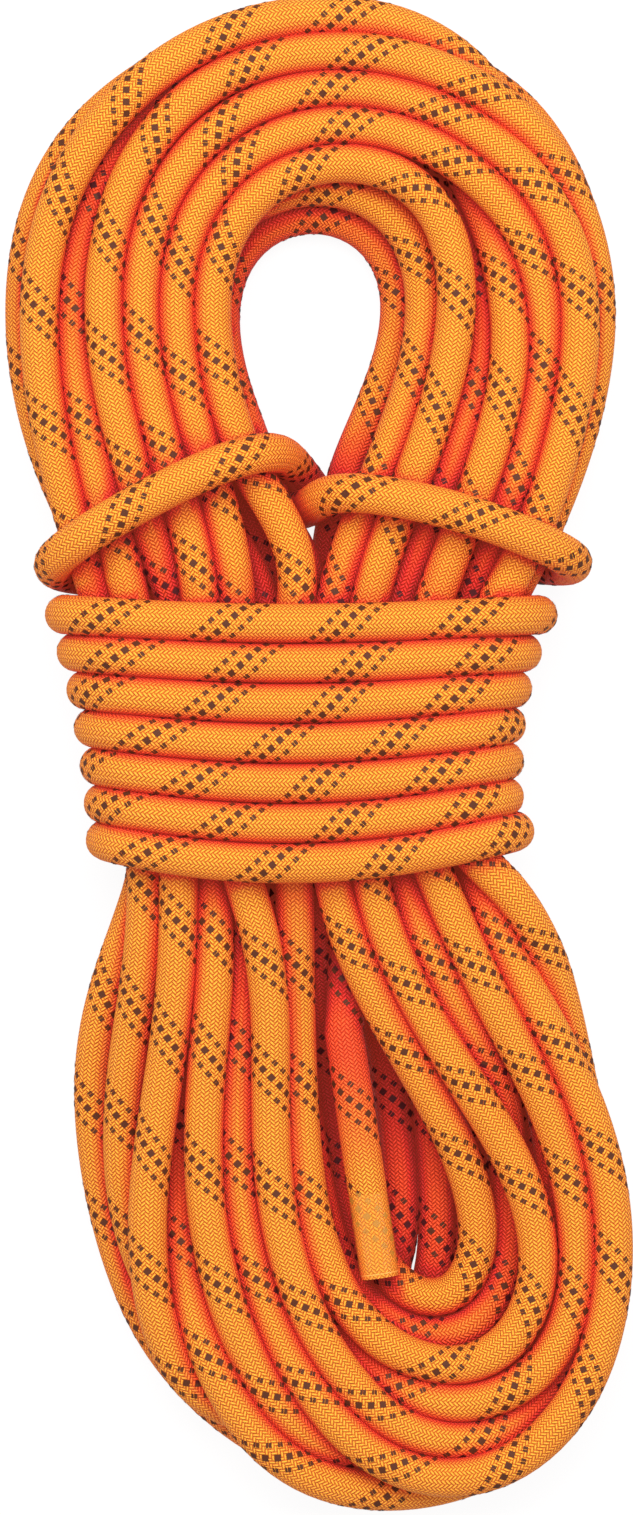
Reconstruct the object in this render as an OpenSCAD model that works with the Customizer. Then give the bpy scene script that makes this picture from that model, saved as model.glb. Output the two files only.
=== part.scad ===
// Hank of dynamic climbing rope, lashed round its waist, lying flat.
// Millimetres. +Z is up through the hank's thickness, +Y runs along its
// length towards the bight with the open eye, +X is across it.
// The origin is under the middle of the hank, on the surface it lies on.

/* [Rope] */
// Diameter of the rope
rope_d = 10.2; // [10:0.1:10.2]
// Wall thickness of the woven sheath
sheath_t = 1.0; // [0.9:0.05:1.1]
// Diameter of one twisted core strand
strand_d = 1.9; // [1.6:0.05:1.9]
// Core strands in the outer ring
outer_strands = 9; // [7:1:9]
// Width of the marker tape that runs inside the core
tape_w = 1.2; // [0.8:0.1:1.2]
// Thickness of the marker tape
tape_t = 0.12; // [0.1:0.02:0.2]

/* [Ends] */
// Length of the clear seal on each end of the rope
seal_len = 22; // [15:1:25]
// Wall thickness of the clear seal
seal_t = 0.3; // [0.2:0.05:0.4]
// Thickness of the melted plug that closes each end
plug_t = 1.6; // [1:0.2:2]

/* [Free end] */
// Length of the free end beyond the place where it bends
tail_len = 68; // [50:1:68]
// Height of the free end's centre line above the surface
tail_z = 23; // [22.5:0.5:25]
// Gap between the free end and the turns on each side of it
tail_gap = 1; // [0.8:0.1:1]

/* [Hank] */
// Thickness of the three layers of turns
bundle_h = 27.8; // [26:0.2:27.8]
// Rounding of the bundle's long edges
edge_r = 9; // [7:0.5:9]

/* [Hidden] */

rope_r = rope_d / 2;
bore_r = rope_r - sheath_t;
seat_r = rope_r - seal_t;          // sheath radius where it is pressed in under the seal
seal_lead = 1.5;                   // length over which the sheath narrows into the seal
orange = [0.98, 0.60, 0.14];
orange_low = [0.93, 0.45, 0.12];
core_white = [0.93, 0.92, 0.88];

// Wraps: the full height is a rope above and a rope below the bundle.
wrap_h = bundle_h + 2 * rope_d;
wrap_major = (wrap_h - rope_d) / 2;
wrap_pitch = 10.25;
wrap_y0 = 34;
wrap_left = [-70, -67, -64.5, -62.5, -61, -60, -59.5];
wrap_right = [61, 57, 54.5, 53, 52.5, 52.5, 55];

// Free end: where it bends, and its heading across the hank from -Y towards +X.
tail_pivot = [6, -67];
tail_turn = 8.4;

// Cross-sections of the bundle: [outer edge puck], [inner edge puck], height of its underside.
puck_r = 10;
neck_z = rope_d;
ul = [
    [[-53, 49], [-11, 49], neck_z],
    [[-60, 65], [-15, 65], neck_z],
    [[-66, 82], [-24, 82], neck_z],
    [[-69.5, 98], [-31, 98], 6],
    [[-70.5, 122], [-36, 122], 0]
];
ua = [
    ul[4],
    [[-63.5, 154], [-29, 142], 0],
    [[-37, 176], [-17, 147.5], 0],
    [[-3, 185], [-3, 148.5], 0],
    [[28.5, 178.5], [11, 145], 0],
    [[50, 156.5], [24, 134], 0],
    [[65, 120], [28, 118], 0]
];
ur = [
    ua[6],
    [[64, 98], [22, 98], 6],
    [[60, 82], [19, 82], neck_z],
    [[55, 65], [18, 65], neck_z],
    [[48, 49], [11, 49], neck_z]
];
ll = [
    [[-40, -42], [-14, -42], neck_z],
    [[-53, -75], [-9.6, -75], 4],
    [[-51, -105], [-5.2, -105], 0],
    [[-42, -139], [-1, -134], 0]
];
lb = [
    ll[3],
    [[-14.5, -169], [8, -149], 0],
    [[24, -184.5], [20, -149], 0],
    [[56, -172], [31, -146], 0],
    [[70.5, -128], [31.8, -128], 0]
];
lr = [
    lb[4],
    [[67.5, -96], [27.4, -98], 0],
    [[56, -60], [22.4, -65], 5],
    [[42, -42], [19, -42], neck_z]
];

// Route of the lashing: up the left side, over the left leg, down through the
// crotch of the eye, behind the right leg, over it, and down through the crotch again.
hz = bundle_h + rope_d + rope_r + 0.2;   // over the neck
bz = rope_r + 0.1;                       // under the neck
hitch = [
    [-22, 46, bz], [-44, 46, bz], [-58, 47, 7], [-66, 48, 13], [-68.8, 49, 24],
    [-67, 50, 35], [-59, 54, 42.5], [-46, 62, hz], [-30, 70, hz], [-14, 76, hz],
    [-4, 78, 41], [0.5, 79, 33], [1, 79, 24], [1, 79, 14], [3, 78, 7.5],
    [12, 72, bz], [28, 62, bz], [44, 53, bz], [56, 49, 7.5], [63.5, 49, 14],
    [65.5, 50, 25], [63, 52, 36], [55, 56, 42.5], [42, 62, hz], [26, 66, hz],
    [12, 68, 42.5], [4, 68, 38], [1, 67.5, 30], [0.5, 67.5, 20], [-1, 68, 12],
    [-6, 69, 6.5], [-14, 70, bz]
];
hitch_split = 16;
tucked_from = [-15, 70.1, bz];
tucked_len = 42;
tucked_turn = 174.3;

function unit(v) = v / norm(v);
function tangent(p, i) = unit(p[min(i + 1, len(p) - 1)] - p[max(i - 1, 0)]);
function ring(c, t, r, n) =
    let (s = unit(cross(t, [0, 1, 0])), u = cross(s, t))
    [for (k = [0:n - 1]) c + r * (cos(360 * k / n) * s + sin(360 * k / n) * u)];

// One closed tube along the points of route p from index a to index b.
module cord_tube(p, a, b, r, n = 12) {
    rings = b - a + 1;
    pts = [for (i = [a:b]) each ring(p[i], tangent(p, i), r, n)];
    sides = [for (j = [0:rings - 2], k = [0:n - 1])
        let (k2 = (k + 1) % n)
        each [[j * n + k, (j + 1) * n + k, (j + 1) * n + k2],
              [j * n + k, (j + 1) * n + k2, j * n + k2]]];
    first = [[for (k = [0:n - 1]) k]];
    last = [[for (k = [n - 1:-1:0]) (rings - 1) * n + k]];
    polyhedron(points = pts, faces = concat(first, sides, last), convexity = 6);
}

// A short round-edged disc as thick as the bundle.
module puck(at, z) {
    translate([at[0], at[1], z])
        rotate_extrude($fn = 24)
            polygon([
                [0, 0], [puck_r - edge_r, 0], [puck_r - 0.3 * edge_r, 0.3 * edge_r],
                [puck_r, edge_r], [puck_r, bundle_h - edge_r],
                [puck_r - 0.3 * edge_r, bundle_h - 0.3 * edge_r],
                [puck_r - edge_r, bundle_h], [0, bundle_h]
            ]);
}

// The bundle between neighbouring cross-sections of list s.
module bundle(s) {
    for (i = [0:len(s) - 2])
        hull() {
            puck(s[i][0], s[i][2]);
            puck(s[i][1], s[i][2]);
            puck(s[i + 1][0], s[i + 1][2]);
            puck(s[i + 1][1], s[i + 1][2]);
        }
}

// A slice of the waist that just fills the inside of a wrap.
module waist_slice(xl, xr, y0, y1) {
    r = wrap_major - rope_r;
    a = xl + rope_r + wrap_major;
    b = xr - rope_r - wrap_major;
    translate([0, y1, wrap_h / 2])
        rotate([90, 0, 0])
            linear_extrude(y1 - y0)
                union() {
                    translate([a, 0]) circle(r, $fn = 64);
                    translate([b, 0]) circle(r, $fn = 64);
                    translate([a, -r]) square([b - a, 2 * r]);
                }
}

// One turn of the wrap: two straight runs and two half rings.
module wrap_turn(i) {
    a = wrap_left[i] + rope_r + wrap_major;
    b = wrap_right[i] - rope_r - wrap_major;
    translate([0, wrap_y0 - wrap_pitch * i, wrap_h / 2])
        union() {
            for (s = [-1, 1])
                translate([a, 0, s * wrap_major])
                    rotate([0, 90, 0]) cylinder(h = b - a, r = rope_r, $fn = 48);
            translate([a, 0, 0]) rotate([90, 0, 0]) rotate([0, 0, 90])
                rotate_extrude(angle = 180, $fn = 64)
                    translate([wrap_major, 0]) circle(rope_r, $fn = 48);
            translate([b, 0, 0]) rotate([90, 0, 0]) rotate([0, 0, -90])
                rotate_extrude(angle = 180, $fn = 64)
                    translate([wrap_major, 0]) circle(rope_r, $fn = 48);
        }
}

// Places children whose own +Z runs along the free end, with z = 0 at the bend.
module on_tail() {
    translate([tail_pivot[0], tail_pivot[1], tail_z])
        rotate([0, 0, tail_turn]) rotate([90, 0, 0]) children();
}

// Places children whose own +Z runs along the tucked end, with z = 0 at its root.
module on_tucked() {
    translate(tucked_from)
        rotate([0, 0, tucked_turn - 270]) rotate([90, 0, 0]) children();
}

// The core's strands from z0 to z1: three inside, a ring of others round them.
module core(z0, z1) {
    translate([0, 0, z0]) {
        for (k = [0:2])
            rotate([0, 0, 120 * k]) translate([strand_d * 0.585, 0, 0])
                cylinder(h = z1 - z0, d = strand_d, $fn = 24);
        for (k = [0:outer_strands - 1])
            rotate([0, 0, 80 + 360 / outer_strands * k])
                translate([bore_r - 0.04 - strand_d / 2, 0, 0])
                    cylinder(h = z1 - z0, d = strand_d, $fn = 24);
    }
}

module tape(z0, z1) {
    rotate([0, 0, 60])
        translate([1.85 - tape_t / 2, -tape_w / 2, z0]) cube([tape_t, tape_w, z1 - z0]);
}

// Sheath tube, stepped in under the seal for the last stretch.
module sheath_tube(z0, z1) {
    difference() {
        union() {
            translate([0, 0, z0]) cylinder(h = z1 - seal_len - seal_lead - z0, r = rope_r, $fn = 64);
            translate([0, 0, z1 - seal_len - seal_lead])
                cylinder(h = seal_lead, r1 = rope_r, r2 = seat_r, $fn = 64);
            translate([0, 0, z0]) cylinder(h = z1 - plug_t - z0, r = seat_r, $fn = 64);
        }
        translate([0, 0, z0 - 1]) cylinder(h = z1 - z0 + 2, r = bore_r, $fn = 64);
    }
}

module seal_sleeve(z1) {
    difference() {
        translate([0, 0, z1 - seal_len]) cylinder(h = seal_len, r = rope_r, $fn = 64);
        translate([0, 0, z1 - seal_len - 1]) cylinder(h = seal_len + 2, r = seat_r, $fn = 64);
    }
}

module plug(z1) {
    translate([0, 0, z1 - plug_t]) cylinder(h = plug_t, r = seat_r, $fn = 64);
}

module upper_left_leg_turns() { color(orange) bundle(ul); }
module upper_bight_turns() { color(orange) bundle(ua); }
module upper_right_leg_turns() { color(orange) bundle(ur); }
module lower_left_leg_turns() { color(orange) bundle(ll); }
module lower_bight_turns() { color(orange) bundle(lb); }
module lower_right_leg_turns() { color(orange) bundle(lr); }

// The turns that lie under the free end.
module lower_inner_turns() {
    w = rope_r + tail_gap + 1;
    color(orange_low)
        translate([tail_pivot[0], tail_pivot[1], 6])
            rotate([0, 0, tail_turn])
                translate([-w, -tail_len - 3, 0])
                    cube([2 * w, tail_len + 26, tail_z - rope_r - tail_gap - 6]);
}

module waist_turns() {
    color(orange)
        union() {
            waist_slice(-68, 59, 39, 47);
            for (i = [0:6])
                waist_slice(wrap_left[i], wrap_right[i],
                    wrap_y0 - wrap_pitch * (i + 0.5), wrap_y0 - wrap_pitch * (i - 0.5));
            waist_slice(-59, 54, -40, -32.6);
        }
}

module wrap_turn_1() { color(orange) wrap_turn(0); }
module wrap_turn_2() { color(orange) wrap_turn(1); }
module wrap_turn_3() { color(orange) wrap_turn(2); }
module wrap_turn_4() { color(orange) wrap_turn(3); }
module wrap_turn_5() { color(orange) wrap_turn(4); }
module wrap_turn_6() { color(orange) wrap_turn(5); }
module wrap_turn_7() { color(orange) wrap_turn(6); }

module hitch_left_strand() { color(orange) cord_tube(hitch, 0, hitch_split, rope_r); }
module hitch_right_strand() { color(orange) cord_tube(hitch, hitch_split, len(hitch) - 1, rope_r); }

// The free end's stretch between the waist and its bend.
module tail_root() {
    color(orange_low)
        on_tail() translate([0, 0, -26.5]) cylinder(h = 21, r = rope_r, $fn = 64);
}

module tail_sheath() {
    color(orange)
        on_tail()
            difference() {
                union() {
                    sphere(rope_r, $fn = 64);
                    cylinder(h = tail_len - seal_len - seal_lead, r = rope_r, $fn = 64);
                    translate([0, 0, tail_len - seal_len - seal_lead])
                        cylinder(h = seal_lead, r1 = rope_r, r2 = seat_r, $fn = 64);
                    cylinder(h = tail_len - plug_t, r = seat_r, $fn = 64);
                }
                translate([0, 0, 8]) cylinder(h = tail_len, r = bore_r, $fn = 64);
            }
}
module tail_core_strands() { color(core_white) on_tail() core(8, tail_len - plug_t); }
module tail_marker_tape() { color([0.55, 0.70, 0.85]) on_tail() tape(8, tail_len - plug_t); }
module tail_end_seal() { color([0.99, 0.74, 0.33, 0.7]) on_tail() seal_sleeve(tail_len); }
module tail_fused_plug() { color([0.90, 0.52, 0.18]) on_tail() plug(tail_len); }

module tucked_end_sheath() { color(orange) on_tucked() sheath_tube(0, tucked_len); }
module tucked_end_core_strands() { color(core_white) on_tucked() core(0, tucked_len - plug_t); }
module tucked_end_marker_tape() { color([0.55, 0.70, 0.85]) on_tucked() tape(0, tucked_len - plug_t); }
module tucked_end_seal() { color([0.99, 0.74, 0.33, 0.7]) on_tucked() seal_sleeve(tucked_len); }
module tucked_end_fused_plug() { color([0.90, 0.52, 0.18]) on_tucked() plug(tucked_len); }

upper_left_leg_turns();
upper_bight_turns();
upper_right_leg_turns();
waist_turns();
wrap_turn_1();
wrap_turn_2();
wrap_turn_3();
wrap_turn_4();
wrap_turn_5();
wrap_turn_6();
wrap_turn_7();
hitch_left_strand();
hitch_right_strand();
lower_left_leg_turns();
lower_bight_turns();
lower_right_leg_turns();
lower_inner_turns();
tail_root();
tail_sheath();
tail_core_strands();
tail_marker_tape();
tail_end_seal();
tail_fused_plug();
tucked_end_sheath();
tucked_end_core_strands();
tucked_end_marker_tape();
tucked_end_seal();
tucked_end_fused_plug();
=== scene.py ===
"""Looks for the hank of dynamic climbing rope: one continuous rope, laid turn by turn, settled so that the turns
rest against each other, then covered with its woven sheath, marker yarns and sealed ends."""
import math

import bpy
import numpy as np
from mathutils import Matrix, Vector


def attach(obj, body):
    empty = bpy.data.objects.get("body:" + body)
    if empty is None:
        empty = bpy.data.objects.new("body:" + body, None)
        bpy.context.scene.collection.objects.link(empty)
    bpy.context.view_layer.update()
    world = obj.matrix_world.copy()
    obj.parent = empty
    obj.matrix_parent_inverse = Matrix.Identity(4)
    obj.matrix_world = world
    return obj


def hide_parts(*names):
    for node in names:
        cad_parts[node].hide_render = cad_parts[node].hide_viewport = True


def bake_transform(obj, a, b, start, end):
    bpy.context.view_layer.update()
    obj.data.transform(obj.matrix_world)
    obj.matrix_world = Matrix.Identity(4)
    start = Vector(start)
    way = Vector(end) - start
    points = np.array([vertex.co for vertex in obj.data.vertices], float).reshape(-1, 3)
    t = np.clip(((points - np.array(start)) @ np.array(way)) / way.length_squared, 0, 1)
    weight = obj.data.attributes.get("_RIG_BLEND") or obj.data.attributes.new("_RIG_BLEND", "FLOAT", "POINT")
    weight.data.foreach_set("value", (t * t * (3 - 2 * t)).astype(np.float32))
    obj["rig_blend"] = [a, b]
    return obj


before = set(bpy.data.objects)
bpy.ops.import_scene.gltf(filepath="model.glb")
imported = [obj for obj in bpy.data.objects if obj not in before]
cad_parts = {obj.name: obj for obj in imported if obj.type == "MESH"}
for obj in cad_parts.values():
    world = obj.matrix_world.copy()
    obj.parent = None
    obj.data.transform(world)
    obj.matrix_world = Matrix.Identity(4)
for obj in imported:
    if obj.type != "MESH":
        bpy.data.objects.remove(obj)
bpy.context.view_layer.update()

scene = bpy.context.scene
scene.view_settings.view_transform = "Standard"
scene.view_settings.look = "None"
scene.view_settings.exposure = 0.0
scene.view_settings.gamma = 1.0

# ---------------------------------------------------------------- camera
LENS = 200.0
DIST = 0.3912 * LENS / 36.0
cam_data = bpy.data.cameras.new("Camera")
cam_data.lens = LENS
cam_data.sensor_width = 36.0
cam_data.sensor_fit = "AUTO"
cam_data.clip_start = 0.05
cam_data.clip_end = 20.0
cam = bpy.data.objects.new("Camera", cam_data)
scene.collection.objects.link(cam)
cam.location = (-0.0005, 0.0, 0.024 + DIST)
cam.rotation_euler = (0.0, 0.0, 0.0)
scene.camera = cam

# ---------------------------------------------------------------- the rope's route, millimetres
# Each turn is a list of (x, y, height, pull): pull is how firmly the turn is held to the point while the rope settles.
# Upper turns run from the left leg over the top bight to the right leg, lower turns from the right leg round the
# bottom bight to the left leg.
TURNS = {
    "S1": [
        (-56.9, 42, 23, 0.8), (-61.1, 56.2, 25, 0.8), (-64.9, 67.3, 25, 1), (-67.5, 78.1, 24.5, 1), (-70.1, 92.3, 23.5, 1),
        (-71.7, 107.8, 22.5, 1), (-71.9, 118.1, 22.5, 1), (-70.9, 133.6, 22.5, 1), (-67.3, 143.9, 23, 1), (-60.3, 157.4, 24, 1),
        (-51.5, 166.9, 24, 1), (-40.2, 178.3, 24, 1), (-31.9, 183.5, 24, 1), (-22.9, 187.3, 24, 1), (-13.8, 189.4, 24, 1),
        (-4.8, 190.2, 24, 1), (8.1, 189.9, 24, 1), (21, 187.6, 23, 1), (31.4, 183.2, 21, 1), (40.4, 177, 17, 0.5),
        (48.2, 169.8, 14, 0.3), (55.9, 160, 13, 0.1), (62.4, 146.5, 13, 0.1), (65.5, 133.6, 13, 0.1), (66, 118.1, 13, 0.1),
        (64.4, 102.6, 13, 0.1), (60.5, 89.7, 14, 0.1), (55.9, 76.8, 15, 0.1), (50, 63.9, 17, 0.1), (44.3, 53.6, 18, 0.1),
        (39.1, 42, 19, 0.1),
    ],
    "M": [
        (-48.4, 42, 28.5, 1), (-52, 56.2, 29, 1), (-55.6, 66.5, 28, 1), (-58.2, 76.8, 26, 1), (-61.1, 92.3, 22.5, 1),
        (-62.6, 107.8, 19, 1), (-63.1, 118.1, 18, 1), (-62.1, 133.6, 17.5, 1), (-59.3, 143.9, 17, 0.8), (-55.6, 151.7, 16, 0.6),
        (-50, 158.7, 15, 0.3), (-42.2, 165.9, 14, 0.2), (-33.2, 172.3, 14, 0.2), (-21.6, 177.5, 14, 0.2), (-7.4, 181.1, 14, 0.2),
        (8.1, 180.1, 14, 0.2), (21, 175.4, 14, 0.2), (28.8, 168.5, 14, 0.2), (35.2, 159.4, 14, 0.3), (40.4, 147.8, 16, 0.4),
        (43.8, 140.1, 18, 0.7), (45.8, 133.6, 20, 1), (48.9, 125.9, 22, 1), (51.5, 118.1, 23, 1), (51.8, 107.8, 24, 1),
        (50, 97.5, 25, 1), (47.9, 89.7, 26, 1), (44.3, 76.8, 28.5, 1), (40.7, 66.5, 30.5, 1), (37.1, 56.2, 32, 1),
        (33.2, 42, 32.5, 1),
    ],
    "S2": [
        (-38.9, 42, 31.5, 1), (-43, 56.2, 31.5, 1), (-48.7, 76.8, 29, 1), (-52.3, 92.3, 27, 1), (-54.6, 107.8, 25, 1),
        (-54.9, 118.1, 24, 1), (-54.1, 133.6, 24, 1), (-51.3, 143.9, 24, 1), (-47.6, 152.2, 24, 1), (-43.5, 159.4, 24, 1),
        (-38.3, 166.4, 24, 1), (-31.9, 172.1, 24, 1), (-24.1, 176.5, 24, 1), (-15.1, 179.8, 24, 1), (-4.8, 181.6, 24, 1),
        (8.1, 182.2, 24, 1), (17.2, 181.4, 24, 1), (28.8, 178.8, 24, 1), (40.4, 172.9, 22, 1), (47.6, 166.9, 20, 1),
        (54.9, 159.4, 18, 1), (60.5, 151.2, 16, 1), (64.4, 143.2, 15, 1), (68.3, 131, 14, 1), (69.8, 118.1, 14, 1),
        (69.8, 105.2, 14, 1), (68.3, 92.3, 15, 1), (65.5, 79.4, 17, 1), (61.8, 69.1, 18, 1), (56.7, 56.2, 19, 0.7),
        (50, 42, 20, 0.3),
    ],
    "S3": [
        (-28.8, 42, 32.5, 1), (-32.9, 56.2, 32, 1), (-38.9, 76.8, 28.5, 1), (-42.7, 92.3, 26, 1), (-45.3, 107.8, 24, 1),
        (-45.6, 118.1, 23.5, 1), (-44.8, 133.6, 23.5, 1), (-41.4, 143.2, 23.5, 1), (-35.8, 153, 23.5, 1), (-29.3, 160.5, 23.5, 1),
        (-21.6, 166.7, 23.5, 1), (-12.5, 170.5, 23.5, 1), (-2.2, 172.6, 23.5, 1), (8.1, 173.4, 23.5, 1), (21, 172.1, 23.5, 1),
        (31.4, 168.5, 23.5, 1), (39.4, 163.6, 23.5, 1), (50.2, 155.6, 23.5, 1), (56.2, 148.9, 23.5, 1), (62.4, 139.8, 23.5, 1),
        (66, 129.7, 23.5, 1), (67.3, 118.4, 23.5, 1), (67.5, 110.4, 23.5, 1), (66.5, 96.7, 24.5, 1), (64.4, 89.7, 25.5, 1),
        (61.8, 80.4, 27, 1), (59.3, 72.4, 28.5, 1), (56.2, 63.9, 30, 1), (53.1, 53.6, 31.5, 1), (48.9, 42, 32.5, 1),
    ],
    "S4": [
        (-19.2, 42, 30, 1), (-23.1, 56.2, 30, 1), (-29.6, 76.8, 27, 1), (-33.7, 92.3, 24.5, 1), (-36.5, 107.8, 22.5, 1),
        (-37.1, 118.1, 22, 1), (-35.8, 133.6, 22.5, 1), (-30.9, 143.4, 23, 1), (-26.7, 149.1, 23.5, 1), (-21.3, 155, 23.5, 1),
        (-14.6, 159.4, 23.5, 1), (-4.8, 162.5, 23.5, 1), (5.6, 164.1, 23.5, 1), (15.9, 163.3, 23.5, 1), (24.9, 160.5, 23.5, 1),
        (33.7, 155.3, 23.5, 1), (43.5, 147.8, 23.5, 1), (48.7, 141.9, 23, 1), (53.8, 135.2, 22.5, 1), (56.7, 127.2, 21.5, 1),
        (58.5, 117.9, 20, 1), (59, 109.9, 20, 1), (57.4, 98.2, 21, 1), (55.4, 89.7, 22, 1), (53.1, 83.5, 23, 1),
        (50.2, 75.5, 24, 1), (47.4, 66.5, 25, 1), (44.5, 56.2, 26, 1), (41.4, 42, 27, 1),
    ],
    "S5": [
        (-3.2, 42, 32.5, 6), (-5.3, 56.2, 32.5, 5), (-10.2, 66.5, 31.5, 3), (-16.1, 76.3, 29, 2), (-20.3, 82, 28, 1),
        (-25.4, 92.3, 25, 1), (-29.6, 107.8, 22, 1), (-30.9, 118.1, 21, 1), (-29.6, 128.5, 21.5, 1), (-27, 135.7, 22, 1),
        (-23.4, 140.8, 23, 1), (-18.5, 145.8, 24, 1), (-12.5, 149.9, 24, 1), (-4.8, 153.2, 24, 1), (5.6, 154.8, 24, 1),
        (15.9, 154, 24, 1), (24.1, 151.4, 24, 1), (30.6, 147, 24, 1), (34.5, 141.4, 24, 1), (35.8, 134.9, 24, 1),
        (36, 128.5, 24, 1), (35.8, 118.1, 24, 1), (34.7, 107.8, 25, 1), (32.9, 97.5, 26, 1), (30.9, 89.7, 27, 1),
        (27.2, 78.1, 29, 1), (23.9, 70.4, 30.5, 1), (19.2, 57.4, 32, 1), (14.6, 42, 32.5, 1),
    ],
    "U7": [
        (-11, 42, 24.5, 1), (-14.6, 54.9, 23, 0.7), (-20.8, 66.5, 20, 0.4), (-28.5, 79.4, 14, 0.2), (-36.3, 92.3, 8, 0.2),
        (-42, 107.8, 5.1, 0.2), (-43.5, 118.1, 5.1, 0.2), (-42, 133.6, 5.1, 0.2), (-35.8, 145.2, 5.1, 0.2), (-26.7, 154.3, 6, 0.1),
        (-14.6, 159.4, 8, 0.1), (-0.9, 161, 10, 0.1), (13.3, 160, 12, 0.1), (26.2, 154.8, 13, 0.1), (35.2, 147, 14, 0.1),
        (40.7, 138.3, 14.5, 0.2), (42.7, 129.7, 15, 0.5), (43.5, 118.1, 16, 1), (43.2, 105.2, 18, 1), (42.2, 97.5, 20, 1),
        (40.7, 91, 22, 1), (37.6, 82, 25, 1), (35.5, 76.8, 26.5, 1), (32.1, 66.5, 28.5, 1), (28.5, 56.2, 29.5, 1),
        (23.9, 42, 29.5, 1),
    ],
    "B2": [
        (-8.6, 42, 17, 0.1), (-13.6, 53.6, 17, 0.1), (-19.5, 66.5, 16, 0.2), (-25.9, 79.4, 15, 0.2), (-30.9, 92.3, 14, 0.3),
        (-34, 105.2, 13, 0.5), (-35, 118.1, 13, 0.5), (-33.2, 131, 13, 0.4), (-27, 140.8, 13, 0.3), (-17.7, 145.8, 13.5, 0.3),
        (-4.8, 148.6, 14, 0.8), (7.1, 148.6, 14.5, 1.5), (16.4, 146, 14.5, 2), (23.1, 140.6, 14.5, 2), (27, 131, 14.5, 2),
        (28.5, 120.7, 15, 1.5), (27.8, 110.4, 16, 1), (24.9, 100.1, 18, 1), (22.3, 89.7, 21, 1), (19.5, 82, 24, 1),
        (16.9, 75.5, 26.5, 1), (12.8, 66.5, 29, 1), (8.6, 54.9, 30.5, 1), (5, 42, 30.5, 1),
    ],
    "B3": [
        (-2.2, 42, 20, 8), (-2.5, 53.6, 20, 8), (-2.5, 63.1, 19, 12), (-8.9, 74.2, 14, 2), (-18.2, 84.6, 9, 0.5),
        (-23.4, 94.9, 7, 0.5), (-27.5, 106.5, 5.1, 0.5), (-29.3, 118.1, 5.1, 0.6), (-27.8, 129, 5.1, 0.6), (-22.9, 136.7, 5.1, 0.5),
        (-15.1, 141.9, 5.1, 0.6), (-4.8, 143.7, 5.1, 0.8), (5.8, 142.7, 5.1, 1.5), (14.1, 138.8, 5.1, 2), (20, 132.8, 5.1, 2),
        (23.4, 125.4, 5.1, 2), (23.1, 115.5, 5.1, 1), (21, 103.9, 6, 1), (16.9, 93.6, 7, 1), (12.8, 84.6, 9, 1),
        (7.1, 75.5, 11, 3), (2.5, 65.7, 9.5, 12), (1.9, 54.9, 9.5, 8), (3, 42, 10, 8),
    ],
    "K1": [
        (-58.5, 42, 17, 0.2), (-62.9, 54.9, 17, 0.5), (-67.3, 67.3, 14, 1), (-71.1, 80.9, 10, 1), (-74.5, 96.4, 7, 1),
        (-75.8, 114.3, 6, 1), (-75.5, 127.9, 6, 1), (-72.9, 143.9, 6, 1), (-68, 155.6, 7, 1), (-59.5, 164.1, 9, 1),
        (-49.4, 171.8, 11, 0.7), (-38.3, 178, 12, 0.3), (-26.7, 182.2, 12, 0.2), (-12.5, 184.7, 12, 0.2), (5.6, 185.3, 12, 0.2),
        (21, 182.7, 11, 0.2), (34, 177, 9, 0.2), (46.9, 168.5, 7, 0.2), (56.7, 158.1, 6, 0.2), (63.1, 146.5, 5, 0.2),
        (67, 134.9, 5, 0.2), (69.1, 125.9, 5, 0.2), (69.8, 116.8, 5, 0.3), (69.6, 105.2, 5, 0.3), (67.5, 91.8, 7, 0.4),
        (64.4, 78.9, 9, 0.5), (60.3, 66.5, 11, 0.5), (56.4, 54.9, 12, 0.5), (52, 42, 12, 0.2),
    ],
    "K2": [
        (-48.7, 42, 16, 0.05), (-53.3, 54.9, 15, 0.05), (-59, 69.1, 12, 0.05), (-63.1, 82, 9, 0.1), (-65.2, 96.4, 6, 0.1),
        (-66.2, 114.3, 5.1, 0.1), (-65.5, 127.9, 5.1, 0.1), (-62.1, 142.7, 5.1, 0.1), (-56.4, 153, 5.1, 0.1), (-47.4, 163.3, 5.1, 0.1),
        (-35.8, 170.8, 5.1, 0.1), (-22.9, 176, 5.1, 0.1), (-7.4, 179.1, 5.1, 0.1), (8.1, 178.5, 5.1, 0.1), (23.6, 174.9, 5.1, 0.1),
        (35.2, 168, 5.1, 0.1), (45.6, 158.4, 5.1, 0.1), (52.8, 146.5, 5.1, 0.1), (58, 132.3, 5.1, 0.1), (59.5, 118.1, 5.1, 0.1),
        (59.3, 105.2, 5.1, 0.1), (57.2, 92.3, 7, 0.05), (54.1, 79.4, 10, 0.05), (48.9, 66.5, 13, 0.05), (44.3, 54.9, 15, 0.05),
        (40.2, 42, 16, 0.05),
    ],
    "K3": [
        (-30.6, 42, 16, 0.05), (-35.8, 54.9, 15, 0.05), (-43.5, 69.1, 12, 0.05), (-49.2, 82, 9, 0.1), (-53.3, 96.4, 6, 0.1),
        (-54.9, 114.3, 5.1, 0.1), (-53.8, 127.9, 5.1, 0.1), (-50.2, 142.7, 5.1, 0.1), (-43.8, 154.3, 5.1, 0.3), (-33.2, 164.1, 5.1, 0.5),
        (-20.8, 168.2, 5.1, 0.3), (-7.4, 168.2, 5.1, 0.1), (8.1, 168.2, 5.1, 0.1), (21, 164.1, 5.1, 0.1), (32.7, 156.3, 5.1, 0.1),
        (41.7, 145.2, 5.1, 0.1), (46.9, 132.3, 5.1, 0.1), (48.7, 118.1, 5.1, 0.1), (48.4, 105.2, 5.1, 0.1), (46.3, 92.3, 7, 0.05),
        (43, 79.4, 10, 0.05), (37.1, 66.5, 13, 0.05), (32.7, 54.9, 15, 0.05), (28.3, 42, 16, 0.05),
    ],
    "L1": [
        (3.2, -34.7, 32, 1), (6.8, -44.5, 31, 1), (11, -53.6, 30, 1), (15.9, -62.6, 28, 1), (21, -72.9, 26, 1),
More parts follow.
